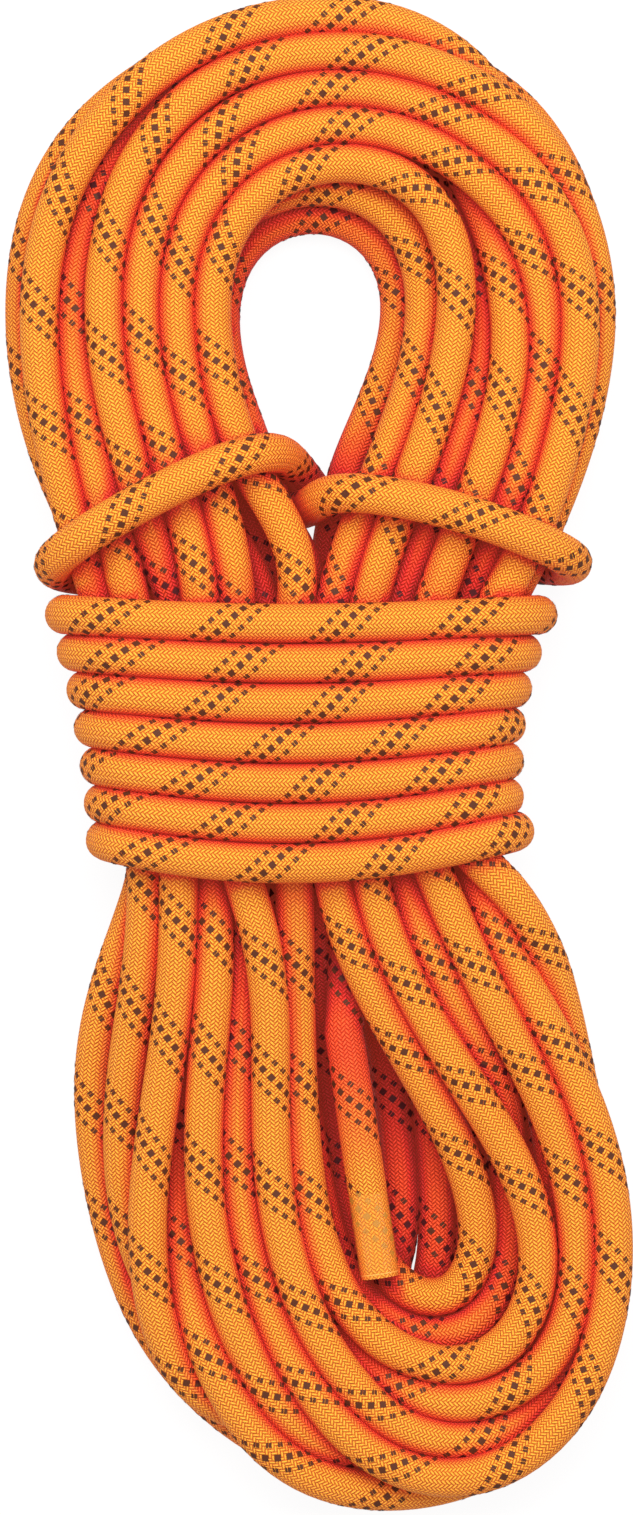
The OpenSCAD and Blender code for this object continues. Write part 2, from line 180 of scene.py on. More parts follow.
        (27, -83.3, 24, 1), (29.8, -88.4, 22.5, 1), (34.5, -98.2, 20, 1), (39.1, -106.5, 18, 1), (42.7, -114.3, 16.5, 1),
        (45.1, -122.5, 15.5, 1), (45.8, -130.3, 15, 1), (44.3, -138, 14.5, 1), (39.1, -143.7, 14, 1), (31.4, -145.5, 13.5, 1),
        (23.6, -144.2, 12.5, 1), (17.9, -140.6, 11, 1), (13.6, -135.2, 9, 1), (10.5, -127.2, 7.5, 1), (8.4, -118.1, 7, 1),
        (6.6, -109.1, 7, 0.8), (4.5, -96.2, 7, 0.5), (2.7, -83.3, 8, 0.4), (0.9, -70.4, 11, 0.3), (-0.9, -57.4, 14, 0.2),
        (-2.7, -44.5, 17, 0.2), (-4, -34.7, 20, 0.1),
    ],
    "L2": [
        (12.8, -34.7, 33, 1), (16.9, -45.8, 32, 1), (21.8, -54.9, 31, 1), (26.5, -62.6, 30, 1), (32.7, -73.7, 28, 1),
        (38.6, -83.3, 26, 1), (42, -89.2, 25, 1), (46.9, -97.5, 24, 1), (52, -105.2, 23, 1), (56.4, -114.3, 23, 1),
        (58.2, -123.3, 23, 1), (58.7, -131, 23, 1), (57.7, -140.1, 23, 1), (54.1, -149.1, 23, 1), (48.2, -156.1, 23, 1),
        (40.4, -160.2, 23, 1), (31.4, -161.2, 23, 1), (22.3, -159.2, 23, 1), (15.4, -153.8, 23, 1), (8.6, -145.8, 23, 1),
        (2.7, -135.7, 22, 1), (-0.6, -124.6, 22, 1), (-2.7, -113, 22, 1), (-4, -100.6, 21.5, 1), (-4.5, -88.4, 21.5, 1),
        (-5.3, -75.5, 22, 1), (-6.3, -62.6, 22.5, 1), (-6.6, -49.7, 23, 0.8), (-6.3, -34.7, 24, 0.5),
    ],
    "L3": [
        (22.6, -34.7, 33, 1), (27.8, -45.8, 32, 1), (32.4, -54.4, 31, 1), (36.8, -62.6, 29, 1), (42.5, -72.9, 26.5, 1),
        (47.6, -83.3, 22, 1), (49.7, -91, 17, 1.5), (48.7, -98.8, 13, 2.5), (48.2, -107.8, 10, 3), (48.2, -118.1, 9.5, 3),
        (47.6, -128.5, 9.5, 2), (50, -138.8, 10, 0.6), (45.3, -146.8, 10.5, 1), (37.8, -152.2, 11, 1), (30.1, -153.5, 11.5, 1),
        (21.6, -151.2, 12.5, 0.8), (14.6, -144.7, 14, 0.4), (8.6, -135.7, 14.5, 0.2), (4, -125.9, 14.5, 0.1), (0.9, -114.3, 14.5, 0.1),
        (-1.2, -101.3, 14.5, 0.1), (-3, -88.4, 14.5, 0.1), (-4.3, -75.5, 14.5, 0.1), (-5.3, -62.6, 15, 0.1), (-6.3, -49.7, 15.5, 0.1),
        (-7.4, -34.7, 17, 0.1),
    ],
    "L4": [
        (33.2, -34.7, 32, 1), (37.1, -45.8, 32, 1), (41.7, -54.4, 31, 1), (46.3, -62.6, 30, 1), (51.5, -72.9, 28, 1),
        (56.7, -82, 26, 1), (59.8, -88.4, 25, 1), (63.6, -98.8, 24, 1), (66.2, -107.8, 23.5, 1), (67.5, -115.5, 23, 1),
        (68.3, -127.2, 23, 1), (67.5, -140.1, 22, 1), (65.2, -151.7, 21, 1), (59.5, -160.7, 20, 1), (51.3, -165.9, 19, 1),
        (41.7, -168.5, 17, 1), (31.9, -168.7, 15, 0.8), (22.3, -165.9, 14, 0.5), (13.8, -160.2, 13, 0.3), (5.6, -151.7, 12, 0.2),
        (-0.9, -141.4, 12, 0.1), (-5.6, -129.7, 12, 0.1), (-8.6, -116.8, 12, 0.1), (-10.5, -103.9, 12, 0.1), (-11.2, -88.4, 12, 0.1),
        (-12, -72.9, 13, 0.1), (-13, -57.4, 15, 0.1), (-14.6, -44.5, 17, 0.1), (-15.9, -34.7, 19, 0.1),
    ],
    "L5": [
        (48.2, -34.7, 20, 0.1), (52, -47.1, 14, 0.2), (57.4, -60, 8, 0.3), (61.1, -72.9, 5.1, 0.4), (63.9, -85.9, 5.1, 0.4),
        (66, -98.8, 5.1, 0.4), (67, -111.7, 5.1, 0.4), (67.5, -127.2, 5.1, 0.4), (67.5, -142.7, 8, 0.4), (65.7, -154.3, 13, 0.6),
        (60.8, -164.6, 18, 1), (54.6, -171.8, 20.5, 1), (44.3, -176.7, 22, 1), (32.7, -178.3, 22.5, 1), (22.3, -175.4, 23, 1),
        (13.8, -169.3, 23.5, 1), (6.3, -160.7, 24, 1), (0.9, -152.5, 25, 1), (-2.7, -144.7, 25.5, 1), (-6.3, -134.9, 26, 1),
        (-9.2, -124.6, 26, 1), (-11.2, -113, 26, 1), (-12.5, -98.8, 26, 1), (-12.5, -83.3, 27, 1), (-11.7, -62.6, 29.5, 1),
        (-11, -47.1, 31.5, 1), (-10.5, -34.7, 32.5, 1),
    ],
    "L6": [
        (40.4, -34.7, 26, 1), (45.6, -43.2, 26, 1), (50.7, -52.3, 27, 1), (55.6, -62.6, 28, 1), (61.1, -72.9, 28, 1),
        (66.5, -82.8, 26.5, 1), (70.4, -93.9, 25, 1.5), (72.7, -103.9, 24, 1.5), (74.2, -114.3, 24, 1.5), (74.7, -127.9, 24, 1.5),
        (74, -143.2, 24, 1.5), (71.1, -158.7, 24, 1), (64.2, -170.3, 24, 1), (52.3, -181.4, 24, 1), (41.7, -186.3, 24, 1),
        (31.4, -187.8, 24, 1), (22.3, -186, 24, 1), (14.6, -182.2, 24, 1), (7.6, -177.5, 24, 1), (0.4, -169.3, 24, 1),
        (-4.5, -160.7, 23.5, 1), (-8.9, -153, 22.5, 1), (-12.5, -144.7, 22, 1), (-15.6, -135.7, 22, 1), (-18.5, -124.6, 22, 1),
        (-20.5, -111.7, 22, 1), (-21, -98.8, 22, 1), (-20.8, -83.3, 23, 1), (-19.5, -62.6, 25, 1), (-17.7, -47.1, 26.5, 0.8),
        (-16.9, -34.7, 27, 0.8),
    ],
    "L7": [
        (47.4, -34.7, 32.5, 1), (50.5, -44.5, 30, 1), (54.9, -53.6, 24, 1), (58.5, -62.6, 18.5, 1), (62.1, -72.9, 15, 1),
        (65.5, -83.3, 13.5, 1), (68.8, -96.2, 13, 1), (71.1, -111.7, 13, 1), (71.9, -127.2, 13, 1), (71.1, -142.7, 12.5, 0.7),
        (68, -157.6, 10, 0.5), (62.4, -169.8, 8, 0.4), (51.5, -179.3, 9, 0.3), (40.4, -185.5, 11, 0.3), (31.4, -188.6, 13, 0.7),
        (21, -189.4, 15, 1), (12, -188.6, 17, 1), (4.3, -186.8, 19, 1), (-4, -184, 21, 1), (-11, -180.1, 22, 1),
        (-16.9, -174.4, 23, 1), (-21.8, -167.7, 23, 1), (-25.9, -160.2, 23, 1), (-30.1, -150.4, 22, 1), (-33.2, -138.8, 20, 1),
        (-35, -127.2, 18, 1), (-35.8, -116.8, 16, 1), (-35.8, -106.5, 14, 0.8), (-35.2, -96.2, 12, 0.5), (-34.5, -83.3, 12, 0.2),
        (-33.2, -67.8, 14, 0.2), (-31.6, -52.3, 17, 0.1), (-30.6, -34.7, 20, 0.1),
    ],
    "L8": [
        (50, -34.7, 17, 0.1), (49.4, -47.1, 12, 0.1), (48.4, -60, 5.1, 0.2), (51, -72.9, 5.1, 0.3), (54.1, -85.9, 5.1, 0.4),
        (56.7, -98.8, 5.1, 0.4), (58.2, -111.7, 5.1, 0.4), (58.5, -127.2, 5.1, 0.4), (57.2, -142.7, 5.1, 0.4), (52.8, -156.1, 5.1, 0.3),
        (44.8, -167.2, 5.1, 0.2), (34.5, -175.4, 5.1, 0.2), (22.3, -179.3, 5.1, 0.2), (8.1, -181.9, 5.1, 0.1), (-4.8, -177.5, 6, 0.2),
        (-17.7, -172.3, 6, 0.5), (-29.3, -164.9, 6, 1), (-39.6, -153.8, 6, 1), (-46.3, -140.8, 6, 1), (-52.5, -124.6, 6, 1.5),
        (-56.7, -105, 7, 2), (-58.7, -85.1, 9, 2), (-58.2, -70.9, 13, 2), (-54.9, -56.7, 17, 1), (-52.3, -43.2, 21, 1),
        (-50.2, -34.7, 24, 1),
    ],
    "L9": [
        (39.1, -34.7, 14, 0.1), (35.2, -47.1, 12, 0.1), (31.4, -62.6, 9.5, 0.3), (29.3, -75.5, 7, 0.8), (28.5, -88.4, 6, 1.5),
        (29.6, -101.3, 6, 3), (30.6, -114.3, 6, 3), (31.4, -127.2, 6, 3), (31.6, -139.6, 5.1, 2), (25.2, -151.7, 5.1, 0.2),
        (16.7, -160.7, 5.1, 0.1), (3, -165.1, 5.1, 0.1), (-12.5, -165.4, 6, 0.1), (-25.9, -162, 10, 0.1), (-36.3, -151.7, 13, 0.2),
        (-43.5, -137.5, 14, 0.4), (-48.7, -123.3, 14, 0.8), (-50.7, -113, 14, 1), (-50.2, -100.6, 15, 1), (-50.7, -88.4, 17, 1),
        (-49.7, -75.5, 20, 1), (-46.1, -62.6, 24, 1), (-43.2, -47.1, 28, 1), (-42, -34.7, 29, 1),
    ],
    "L10": [
        (46.9, -34.7, 18, 0.1), (48.9, -47.1, 16, 0.1), (52, -60, 14.5, 0.2), (55.4, -72.9, 14.5, 0.2), (58.7, -85.9, 14.5, 0.2),
        (60.5, -98.8, 14, 0.1), (61.3, -111.7, 14, 0.1), (61.3, -127.2, 14, 0.1), (59.3, -140.1, 14, 0.1), (54.6, -151.7, 14, 0.1),
        (46.9, -162, 13, 0.1), (35.2, -169.8, 12, 0.1), (21, -174.2, 12, 0.1), (5.6, -176.2, 12, 0.1), (-7.4, -174.9, 14, 0.1),
        (-17.7, -172.3, 17, 0.3), (-25.4, -169, 19, 0.8), (-32.7, -162.8, 21, 1), (-37.6, -155, 22, 1), (-40.9, -145.2, 23, 1),
        (-43, -134.9, 23, 1), (-44.5, -124.6, 23.5, 1), (-44.5, -113, 24, 1), (-42.2, -98.8, 24.5, 1), (-39.4, -83.3, 26, 1),
        (-36.8, -62.6, 30, 1), (-34.2, -47.1, 31.5, 1), (-33.2, -34.7, 32, 1),
    ],
    "L11": [
        (32.4, -34.7, 17, 0.1), (33.2, -47.1, 13, 0.2), (34.5, -60, 8, 0.5), (36.3, -72.9, 5.1, 1), (37.8, -85.9, 5.1, 1.5),
        (39.1, -98.8, 5.1, 3), (39.9, -111.7, 5.1, 3), (40.2, -125.9, 5.1, 3), (39.6, -140.1, 5.1, 1), (37.8, -153, 5.1, 0.6),
        (34, -164.6, 6, 0.3), (28.3, -173.6, 9, 0.2), (20.5, -179.3, 13, 0.3), (12, -181.9, 18, 0.4), (4.3, -180.6, 21, 0.8),
        (-2.7, -175.4, 22.5, 1), (-8.9, -169, 23.5, 1), (-14.6, -160.7, 24, 1), (-19, -153, 24.5, 1), (-22.3, -144.5, 25, 1),
        (-25.4, -134.9, 25, 1), (-28, -124.6, 25, 1), (-29.6, -113, 25, 1), (-29.8, -98.8, 25.5, 1), (-29.3, -83.3, 26.5, 1),
        (-26.7, -62.6, 30, 1), (-24.9, -47.1, 31.5, 1), (-23.6, -34.7, 32.5, 1),
    ],
}
# the order in which the one rope makes its turns, from the free end to the wraps
ORDER = ["B3", "L1", "B2", "L3", "U7", "L2", "S5", "L6", "S4", "L5", "S2", "L11", "K3", "L4", "M", "L9", "K2", "L7", "S3", "L10", "S1", "L8", "K1"]
# from the last upper turn down through the waist, round under the lower eye and back to the first wrap
LEAD = [
    (-48.7, 27.8, 15.3, 0.1), (-38.3, 9.7, 15.3, 0.1), (-22.9, -8.4, 15, 0.1), (-7.9, -22.6, 13, 0.1), (3, -34.2, 9.5, 0.1),
    (9.7, -48.4, 6, 0.3), (14.3, -65.2, 5.1, 0.5), (17.4, -80.7, 5.1, 0.8), (19.2, -96.2, 5.1, 1), (20.8, -109.1, 5.1, 2),
    (21.3, -120.7, 5.1, 2), (20.3, -131.8, 5.1, 1), (16.4, -142.1, 5.1, 1), (9.4, -150.4, 5.1, 1), (-0.1, -152, 5.1, 1),
    (-8.4, -145.8, 5.1, 1), (-13, -136.2, 5.1, 1), (-15.1, -124.6, 5.1, 0.5), (-16.1, -109.1, 5.1, 0.3), (-16.1, -91, 5.1, 0.3),
    (-15.6, -72.9, 5.1, 0.3), (-15.1, -57.4, 5.1, 0.5), (-16.1, -44.5, 5.1, 1), (-19.8, -35, 5.1, 2), (-26.5, -28, 5.1, 3),
    (-33.2, -24.1, 5.1, 3),
]
# the crossed hitch above the wraps, then the tucked end
HITCH = [
    (10, 40, 5.2), (-22, 46, 5.2), (-44, 46, 5.2), (-58, 47, 7), (-66, 48, 13), (-69.3, 49, 24),
    (-67, 51.5, 35), (-59.5, 57, 42.5), (-46, 65, 43.3), (-33, 71.5, 43.3), (-24, 75.7, 43.3), (-16, 78.6, 41.6),
    (-11.5, 78.6, 35), (-9, 77.4, 27), (-7.5, 76.2, 19), (-6, 73.5, 11.5), (-3, 68.5, 6.5), (1.5, 61.5, 5.2),
    (9.5, 57, 5.2), (20, 56, 5.2), (32, 55, 5.2), (44, 53, 5.2), (57, 49.5, 7.5), (64.3, 49.5, 14),
    (66.6, 50, 25), (63.5, 52, 36), (54.5, 56, 42.5), (41, 61.4, 43.3), (27.5, 65, 43.3), (14, 67.6, 43),
    (4, 68.2, 40), (0, 67.8, 31), (-0.5, 66, 22), (-3, 62.8, 13.5), (-8.5, 64, 6.5), (-15, 70.1, 5.2),
]

ROPE_R = 5.1
STEP = 4.0
HEAD = np.array([0.146083, -0.989272, 0.0])     # the free end's direction
PIVOT = np.array([6.0, -67.0, 23.0])            # where the free end bends
TUCK_A = math.radians(174.3)
TUCK_0 = np.array([-15.0, 70.1, 5.2])
TUCK_H = np.array([math.cos(TUCK_A), math.sin(TUCK_A), 0.0])
WRAP_L = [-70, -67, -64.5, -62.5, -61, -60, -59.5]
WRAP_R = [61, 57, 54.5, 53, 52.5, 52.5, 55]
WRAP_Y = [34.3 - 10.25 * i for i in range(7)]
WRAP_BOW = [(1.6, 2.0), (2.2, 2.8), (2.8, 3.9), (3.4, 4.9), (4.0, 5.9), (4.7, 7.0), (5.4, 8.2)]


def control_points():
    """The whole rope in order: x, y, z, pull, kind (0 turn, 2 wrap or hitch, 3 free end)."""
    ctl = []

    def add(p, w, kind):
        ctl.append([p[0], p[1], p[2], w, kind])

    for s in (68, 62, 56, 50, 44, 38, 32, 26, 20, 14, 8, 2):
        add(PIVOT + HEAD * s, 3, 3)
    for s, dz, w in ((-5, -0.4, 3), (-12, -1.6, 1.5), (-20, -2.8, 1), (-28, -3.2, 0.4)):
        add(PIVOT + HEAD * s + np.array([0, 0, dz]), w, 0)
    for name in ORDER:
        for p in TURNS[name][::-1]:
            add(p, p[3], 0)
    for k, p in enumerate(LEAD):
        add(p, p[3], 2 if k >= len(LEAD) - 5 else 0)

    def bow(i, x):
        """The wraps curve up towards both sides, the lower ones more."""
        c = WRAP_BOW[i][0] / 45.0 ** 2 if x < -8.6 else WRAP_BOW[i][1] / 58.0 ** 2
        return WRAP_Y[i] + c * (x + 8.6) ** 2

    rt, zc = 19.0, 24.1
    for i in range(6, -1, -1):
        cl, cr = WRAP_L[i] - 1.8 + ROPE_R + rt, WRAP_R[i] + 1.8 - ROPE_R - rt
        for th in (0, 30, 60, 90, 120, 150):
            a = math.radians(th)
            x = cl - rt * math.sin(a)
            add((x, bow(i, x if th > 60 else cl - rt), zc - rt * math.cos(a)), 25, 2)
        for x in (cl, cl + 16, -10, 8, cr - 12):
            add((x, bow(i, x), 43.1), 25, 2)
        for th in (0, 30, 60, 90, 120, 150, 180):
            a = math.radians(th)
            x = cr + rt * math.sin(a)
            add((x, bow(i, x if th < 120 else cr + rt), zc + rt * math.cos(a)), 25, 2)
        if i > 0:
            add((0, (bow(i, cr + rt) + bow(i - 1, cl - rt - 2)) / 2, 5.1), 2, 2)
    for p in HITCH:
        add(p, 14, 2)
    for s in (6, 14, 22, 30, 38, 42):
        add(TUCK_0 + TUCK_H * s, 3, 2)
    return np.array(ctl)


def catmull(P, step, fine=32):
    """A smooth line through the rows of P (x, y, z, then values carried along), cut into equal steps."""
    P = np.asarray(P, float)
    ext = np.vstack([2 * P[0] - P[1], P, 2 * P[-1] - P[-2]])
    p0, p1, p2, p3 = ext[:-3], ext[1:-2], ext[2:-1], ext[3:]

    def gap(a, b):
        return np.maximum(np.linalg.norm(a[:, :3] - b[:, :3], axis=1) ** 0.5, 1e-6)[:, None]

    t1 = gap(p0, p1)
    t2 = t1 + gap(p1, p2)
    t3 = t2 + gap(p2, p3)
    rows = []
    for f in np.arange(fine) / fine:
        t = t1 + (t2 - t1) * f
        a1 = (t1 - t) / t1 * p0 + t / t1 * p1
        a2 = (t2 - t) / (t2 - t1) * p1 + (t - t1) / (t2 - t1) * p2
        a3 = (t3 - t) / (t3 - t2) * p2 + (t - t2) / (t3 - t2) * p3
        b1 = (t2 - t) / t2 * a1 + t / t2 * a2
        b2 = (t3 - t) / (t3 - t1) * a2 + (t - t1) / (t3 - t1) * a3
        c = (t2 - t) / (t2 - t1) * b1 + (t - t1) / (t2 - t1) * b2
        c[:, 3:] = p1[:, 3:] + (p2[:, 3:] - p1[:, 3:]) * f
        rows.append(c)
    C = np.stack(rows, 1).reshape(-1, P.shape[1])
    C = np.vstack([C, P[-1:]])
    s = np.concatenate([[0], np.cumsum(np.linalg.norm(np.diff(C[:, :3], axis=0), axis=1))])
    q = np.linspace(0, s[-1], int(round(s[-1] / step)) + 1)
    return np.stack([np.interp(q, s, C[:, k]) for k in range(C.shape[1])], 1)


def settle(rounds, contact=9.4, bend=6.0):
    """Lays the rope along its route and lets the turns push each other apart, keep their bend smooth and rest."""
    Q = catmull(control_points(), STEP)
    T, W, K = Q[:, :3].copy(), Q[:, 3].copy(), Q[:, 4]
    n = len(T)
    y = T[:, 1]
    waist = (y < 39) & (y > -33) & (K < 1.5)
    W[waist] = np.minimum(W[waist], 0.02)
    wa = 0.02 * W
    # The bending, stretching and holding terms make a matrix with five bands. Its inverse fades within a few
    # points, so each point's row of it is solved in a window of its own.
    REACH = 20
    band = np.zeros((n, 5))
    for r, coef in ((0, 1.0), (1, -2.0), (2, 1.0)):
        for c, other in ((0, 1.0), (1, -2.0), (2, 1.0)):
            k = np.arange(n - 2) + r
            band[k, 2 + c - r] += bend * coef * other
    k = np.arange(n - 1)
    band[k, 2] += 0.02
    band[k + 1, 2] += 0.02
    band[k, 3] -= 0.02
    band[k + 1, 1] -= 0.02
    band[:, 2] += wa + 1.0
    wide = 2 * REACH + 1
    rows = np.arange(n)[:, None] + np.arange(-REACH, REACH + 1)[None, :]
    inside = (rows >= 0) & (rows < n)
    M = np.zeros((n, wide, wide))
    safe = np.clip(rows, 0, n - 1)
    for o in range(-2, 3):
        r = np.arange(max(0, -o), wide - max(0, o))
        ok = inside[:, r] & inside[:, r + o]
        M[:, r, r + o] = np.where(ok, band[safe[:, r], 2 + o], 0.0)
    M[:, np.arange(wide), np.arange(wide)] = np.where(inside, M[:, np.arange(wide), np.arange(wide)], 1.0)
    e = np.zeros((n, wide, 1))
    e[:, REACH] = 1.0
    kernel = np.linalg.solve(M, e)[:, :, 0] * inside
    del M, e

    def relax(rhs):
        out = np.zeros_like(rhs)
        for c in range(wide):
            out += kernel[:, c, None] * rhs[safe[:, c]]
        return out

    move = np.ones(n)
    move[K >= 1.6] = 0.08
    move[K > 2.5] = 0.0
    P = T.copy()

    def near(P, reach=16.0):
        out = []
        for a in range(0, n, 400):
            dd = ((P[a:a + 400, None, :] - P[None, :, :]) ** 2).sum(2)
            i, j = np.nonzero(dd < reach * reach)
            i = i + a
            keep = (j - i) > 6
            out.append(np.stack([i[keep], j[keep]], 1))
        return np.vstack(out)

    wy = np.array([-33] + WRAP_Y[::-1] + [40.0])
    wl = np.array([WRAP_L[6]] + WRAP_L[::-1] + [WRAP_L[0]]) + 3 * ROPE_R
    wr = np.array([WRAP_R[6]] + WRAP_R[::-1] + [WRAP_R[0]]) - 3 * ROPE_R
    free = (K < 1.5) & ~waist
    top_y = [-180, -110, -85, -60, -35, -33, 39, 45, 75, 100, 120, 190]
    top_z = [27.2, 27.2, 28.2, 33, 36.5, 37, 37, 37, 34, 29, 27.5, 27.5]

    def confine(P):
        P[:, 2] = np.maximum(P[:, 2], ROPE_R)
        P[waist, 2] = np.clip(P[waist, 2], 15.2, 33.0)
        P[waist, 0] = np.clip(P[waist, 0], np.interp(P[waist, 1], wy, wl), np.interp(P[waist, 1], wy, wr))
        P[free, 2] = np.minimum(P[free, 2], np.interp(P[free, 1], top_y, top_z))
        return P

    weight = np.zeros((n, 3))
    weight[:, 2] = -0.03 * ((K < 1.5) & (W < 0.6))
    for it in range(rounds):
        if it % 10 == 0:
            pr = near(P)
            i, j = pr[:, 0], pr[:, 1]
        for _ in range(2):
            v = P[i] - P[j]
            d = np.sqrt((v ** 2).sum(1)) + 1e-9
            m = d < contact
            ii, jj = i[m], j[m]
            c = (contact - d[m])[:, None] * v[m] / d[m][:, None]
            s = move[ii] + move[jj] + 1e-9
            ci, cj = c * (move[ii] / s)[:, None], c * (move[jj] / s)[:, None]
            cnt = np.bincount(ii, minlength=n) + np.bincount(jj, minlength=n)
            cor = np.stack([np.bincount(ii, ci[:, q], n) - np.bincount(jj, cj[:, q], n) for q in range(3)], 1)
            P = confine(P + cor / np.maximum(cnt, 1)[:, None] * 1.3)
        if it < rounds - 2:
            P = relax(wa[:, None] * T + P + weight)
            P[move == 0] = T[move == 0]
    held = (K > 2.5)
    for _ in range(3):
        S = P.copy()
        S[1:-1] = 0.25 * P[:-2] + 0.5 * P[1:-1] + 0.25 * P[2:]
        S[held] = T[held]
        P = S
    P[:, 2] = np.maximum(P[:, 2], ROPE_R)
    return P, K


# ---------------------------------------------------------------- the settled rope
settled, kinds = settle(120)

RING = 3.35          # distance between the tube's rings
SIDES = 24
PITCH = 30.5         # one turn of the tracer round the sheath
YARNS = 28           # yarn groups each way round the sheath


def hermite(P, step):
    s = np.concatenate([[0], np.cumsum(np.linalg.norm(np.diff(P, axis=0), axis=1))])
    T = np.gradient(P, s, axis=0)
    q = np.linspace(0, s[-1], int(round(s[-1] / step)) + 1)
    k = np.clip(np.searchsorted(s, q, side="right") - 1, 0, len(s) - 2)
    h = (s[k + 1] - s[k])[:, None]
    t = (q - s[k])[:, None] / h
    return ((2 * t ** 3 - 3 * t ** 2 + 1) * P[k] + (t ** 3 - 2 * t ** 2 + t) * h * T[k]
            + (-2 * t ** 3 + 3 * t ** 2) * P[k + 1] + (t ** 3 - t ** 2) * h * T[k + 1])


line = hermite(settled, RING)
seg = np.linalg.norm(np.diff(line, axis=0), axis=1)
arc = np.concatenate([[0], np.cumsum(seg)])
length = float(arc[-1])
rings = len(line)

tangent = np.gradient(line, arc, axis=0)
tangent /= np.linalg.norm(tangent, axis=1)[:, None]
normal = np.zeros_like(line)
u = np.array([0.0, 0.0, 1.0])
u = u - tangent[0] * (u @ tangent[0])
normal[0] = u / np.linalg.norm(u)
for k in range(1, rings):
    # rotation-minimising: reflect twice
    v1 = line[k] - line[k - 1]
    c1 = v1 @ v1
    rl = normal[k - 1] - (2 / c1) * (v1 @ normal[k - 1]) * v1
    tl = tangent[k - 1] - (2 / c1) * (v1 @ tangent[k - 1]) * v1
    v2 = tangent[k] - tl
    c2 = v2 @ v2
    w = rl - ((2 / c2) * (v2 @ rl) * v2 if c2 > 1e-12 else 0)
    w = w - tangent[k] * (w @ tangent[k])
    normal[k] = w / np.linalg.norm(w)
binormal = np.cross(tangent, normal)


def frame_at(s):
    """Centre, normal, binormal at arc lengths s."""
    s = np.clip(s, 0, length)
    k = np.clip(np.searchsorted(arc, s, side="right") - 1, 0, rings - 2)
    t = ((s - arc[k]) / (arc[k + 1] - arc[k]))[:, None]
    c = line[k] * (1 - t) + line[k + 1] * t
    # follow the tube's curve between its rings a little more closely than a straight line
    nn = normal[k] * (1 - t) + normal[k + 1] * t
    bb = binormal[k] * (1 - t) + binormal[k + 1] * t
    nn /= np.linalg.norm(nn, axis=1)[:, None]
    bb /= np.linalg.norm(bb, axis=1)[:, None]
    return c, nn, bb


# ---- how deep each part of the surface lies between the turns, which sets the painted shade of the sheath colour
CELL = 1.5
x0, y0 = line[:, 0].min() - 12, line[:, 1].min() - 12
nx, ny = int((line[:, 0].max() - x0 + 12) / CELL) + 1, int((line[:, 1].max() - y0 + 12) / CELL) + 1
height = np.full((nx, ny), 0.0)
dense = hermite(line, 1.5)
off = np.arange(-4, 5)
ox, oy = np.meshgrid(off, off, indexing="ij")
for dx, dy in zip(ox.ravel(), oy.ravel()):
    gx = np.round((dense[:, 0] - x0) / CELL).astype(int) + dx
    gy = np.round((dense[:, 1] - y0) / CELL).astype(int) + dy
    r2 = (gx * CELL + x0 - dense[:, 0]) ** 2 + (gy * CELL + y0 - dense[:, 1]) ** 2
    ok = (r2 < ROPE_R ** 2) & (gx >= 0) & (gx < nx) & (gy >= 0) & (gy < ny)
    np.maximum.at(height, (gx[ok], gy[ok]), (dense[:, 2] + np.sqrt(np.maximum(ROPE_R ** 2 - r2, 0)))[ok])


def blurred(a, r):
    for ax in (0, 1):
        c = np.cumsum(np.concatenate([np.zeros_like(a.take([0], ax)), np.pad(a, [(r, r) if q == ax else (0, 0) for q in (0, 1)], mode="edge")], ax), ax)
        n = a.shape[ax]
        a = (c.take(range(2 * r + 1, 2 * r + 1 + n), ax) - c.take(range(0, n), ax)) / (2 * r + 1)
    return a


around = np.maximum(blurred(blurred(height, 4), 4), blurred(blurred(height, 9), 9))
points = settled
near_pairs = {}


def painted_shade_of(pts, ring_index):
    """Painted shade: 0 on an open crest, 1 down in a crease or on a turn that lies under others."""
    gx = np.clip(np.round((pts[:, 0] - x0) / CELL).astype(int), 0, nx - 1)
    gy = np.clip(np.round((pts[:, 1] - y0) / CELL).astype(int), 0, ny - 1)
    below = np.clip((around[gx, gy] - pts[:, 2] - 1.0) / 12.0, 0, 1)
    covered = np.clip((height[gx, gy] - pts[:, 2] - 2.0) / 6.0, 0, 1)
    crease = closeness(pts, ring_index)
    return np.clip(0.9 * below + 0.55 * crease + 0.35 * covered, 0, 1)


def sample_height(xy):
    """The height of the hank over each x, y, and 0 where there is only floor."""
    gx = np.round((xy[:, 0] - x0) / CELL).astype(int)
    gy = np.round((xy[:, 1] - y0) / CELL).astype(int)
    ok = (gx >= 0) & (gx < nx) & (gy >= 0) & (gy < ny)
    return np.where(ok, height[np.clip(gx, 0, nx - 1), np.clip(gy, 0, ny - 1)], 0.0)


def closeness(pts, s_of):
    """How close another turn's surface comes, 1 where it touches."""
    out = np.zeros(len(pts))
    cs = hermite(line, 3.0)
    cs_s = np.linspace(0, length, len(cs))
    cell = 12.0
    key = lambda p: (np.floor(p[:, 0] / cell).astype(int) + 40) * 10000 + (np.floor(p[:, 1] / cell).astype(int) + 40) * 100 + np.floor(p[:, 2] / cell).astype(int) + 10
    kc = key(cs)
    order = np.argsort(kc, kind="stable")
    kc, cs, cs_s = kc[order], cs[order], cs_s[order]
    kp = key(pts)
    po = np.argsort(kp, kind="stable")
    ks, starts = np.unique(kp[po], return_index=True)
    ends = np.append(starts[1:], len(po))
    for kk, a, b in zip(ks, starts, ends):
        idx = po[a:b]
        sel = []
        for ddx in (-10000, 0, 10000):
            for ddy in (-100, 0, 100):
                lo = np.searchsorted(kc, kk + ddx + ddy - 1, side="left")
                hi = np.searchsorted(kc, kk + ddx + ddy + 1, side="right")
                if hi > lo:
                    sel.append(np.arange(lo, hi))
        if not sel:
            continue
        sel = np.concatenate(sel)
        c, cc = cs[sel], cs_s[sel]
        dd = np.linalg.norm(pts[idx][:, None, :] - c[None, :, :], axis=2)
        dd[np.abs(s_of[idx][:, None] - cc[None, :]) < 22] = 1e3
        g = dd.min(1) - ROPE_R
        out[idx] = np.clip(1 - g / 4.2, 0, 1) ** 1.3
    return out


